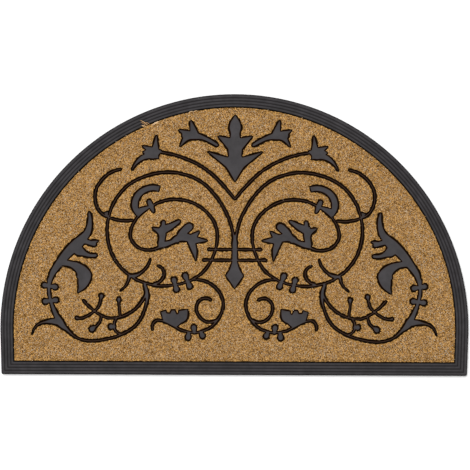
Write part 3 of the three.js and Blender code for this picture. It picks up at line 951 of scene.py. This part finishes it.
shared = {"edge_width": 4.5 * mm, "material": fibre_material}
upright = {"edge_raggedness": 15 * mm, "spill": 12.0, "rim_shade": 0.7, **shared}
pile_pieces = [sown(
    "coir_undergrowth", fibres_per_square_metre=240000.0, length=2.9 * mm, thickness=0.62 * mm,
    tip_width=0.0, segments=1, bend=0.15, lean=0.35, tuft_size=5 * mm, tuft_lean=0.9,
    edge_raggedness=0.0, spill=0.0, rim_shade=2.2, tone=0.38, seed=1, **shared,
), sown(
    "coir_pile_a", fibres_per_square_metre=255000.0, length=3.7 * mm, thickness=0.52 * mm,
    tip_width=0.0, segments=1, bend=0.2, lean=0.55, tuft_size=4 * mm, tuft_lean=1.8,
    tone=0.55, seed=2, **upright,
), sown(
    "coir_pile_b", fibres_per_square_metre=255000.0, length=3.8 * mm, thickness=0.5 * mm,
    tip_width=0.0, segments=1, bend=0.25, lean=0.6, tuft_size=4 * mm, tuft_lean=1.8,
    tone=0.59, seed=3, **upright,
), sown(
    "coir_long_fibres", fibres_per_square_metre=70000.0, length=4.6 * mm, thickness=0.46 * mm,
    tip_width=0.22, segments=2, bend=0.5, lean=0.9, tuft_size=7 * mm, tuft_lean=1.6,
    tone=0.67, seed=4, **upright,
)]

# A few longer coir fibres have worked loose from the pile at the top left and the top middle.
# Only their roots are still held in the pile, and they lie curled over the frame's inner rib.
strand_sides = 5
strand_steps = 8
root_width, tip_width = 0.4, 0.2  # of the strand's full width
taper = 3
loose_hue = 0.55
loose_fibres = [
    # start, bend and end in mm, width in mm, tone
    ((-139.5, 174.0, 8.4), (-144.0, 178.5, 11.4), (-152.5, 182.6, 9.5), 0.68, 0.54),
    ((-141.0, 173.5, 8.4), (-147.0, 177.5, 11.0), (-151.5, 179.0, 9.4), 0.55, 0.38),
    ((-141.5, 171.0, 8.4), (-145.5, 175.0, 11.0), (-150.5, 173.6, 9.4), 0.68, 0.58),
    ((-143.5, 170.0, 8.4), (-146.5, 173.5, 10.8), (-149.0, 172.3, 9.4), 0.55, 0.60),
    ((-136.5, 175.0, 8.4), (-140.5, 179.5, 10.8), (-144.5, 178.6, 9.4), 0.51, 0.40),
    ((-133.5, 174.5, 8.4), (-128.0, 179.5, 11.2), (-121.5, 180.6, 9.4), 0.81, 0.73),
    ((-132.5, 173.5, 8.4), (-129.0, 177.0, 11.2), (-122.5, 179.2, 9.4), 0.72, 0.68),
    ((-119.0, 177.0, 8.4), (-116.5, 182.0, 11.0), (-112.5, 184.0, 9.4), 0.51, 0.50),
    ((-75.5, 193.0, 8.4), (-72.0, 198.0, 11.0), (-66.5, 196.6, 9.4), 0.64, 0.68),
    ((-68.0, 194.5, 8.4), (-64.0, 199.0, 10.8), (-60.0, 197.6, 9.4), 0.55, 0.62),
    ((-106.5, 183.0, 8.4), (-103.0, 188.0, 10.8), (-98.5, 187.4, 9.4), 0.51, 0.48),
]
shell = bmesh.new()
tones = shell.verts.layers.float.new("tone")
for start, bend, end, width, tone in loose_fibres:
    start, bend, end = (Vector(point) * mm for point in (start, bend, end))
    rings = []
    for step in range(strand_steps + 1):
        t = step / strand_steps
        middle = (1 - t) ** 2 * start + 2 * t * (1 - t) * bend + t**2 * end
        ahead = ((1 - t) * (bend - start) + t * (end - bend)).normalized()
        across = ahead.cross(Vector((0, 0, 1))).normalized()
        above = across.cross(ahead)
        radius = width / 2 * mm * min(1, root_width + taper * t, tip_width + taper * (1 - t))
        ring = []
        for side in range(strand_sides):
            turn = side * 2 * math.pi / strand_sides
            way = math.cos(turn) * across + math.sin(turn) * above
            corner = shell.verts.new(middle + radius * way)
            corner[tones] = tone
            ring.append(corner)
        rings.append(ring)
    for ring, following in zip(rings, rings[1:]):
        for i in range(strand_sides):
            j = (i + 1) % strand_sides
            shell.faces.new((ring[i], ring[j], following[j], following[i]))
    shell.faces.new(rings[0])
    shell.faces.new(rings[-1])
bmesh.ops.recalc_face_normals(shell, faces=shell.faces)
spread = shell.loops.layers.uv.new(tone_map)
for face in shell.faces:
    face.smooth = True
    for corner in face.loops:
        corner[spread].uv = (corner.vert[tones], loose_hue)
loose_mesh = bpy.data.meshes.new("coir_loose_fibres")
shell.to_mesh(loose_mesh)
shell.free()
loose_mesh.attributes.remove(loose_mesh.attributes["tone"])
loose_mesh.materials.append(fibre_material)
loose = bpy.data.objects.new("coir_loose_fibres", loose_mesh)
bpy.context.collection.objects.link(loose)
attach(loose, "root")
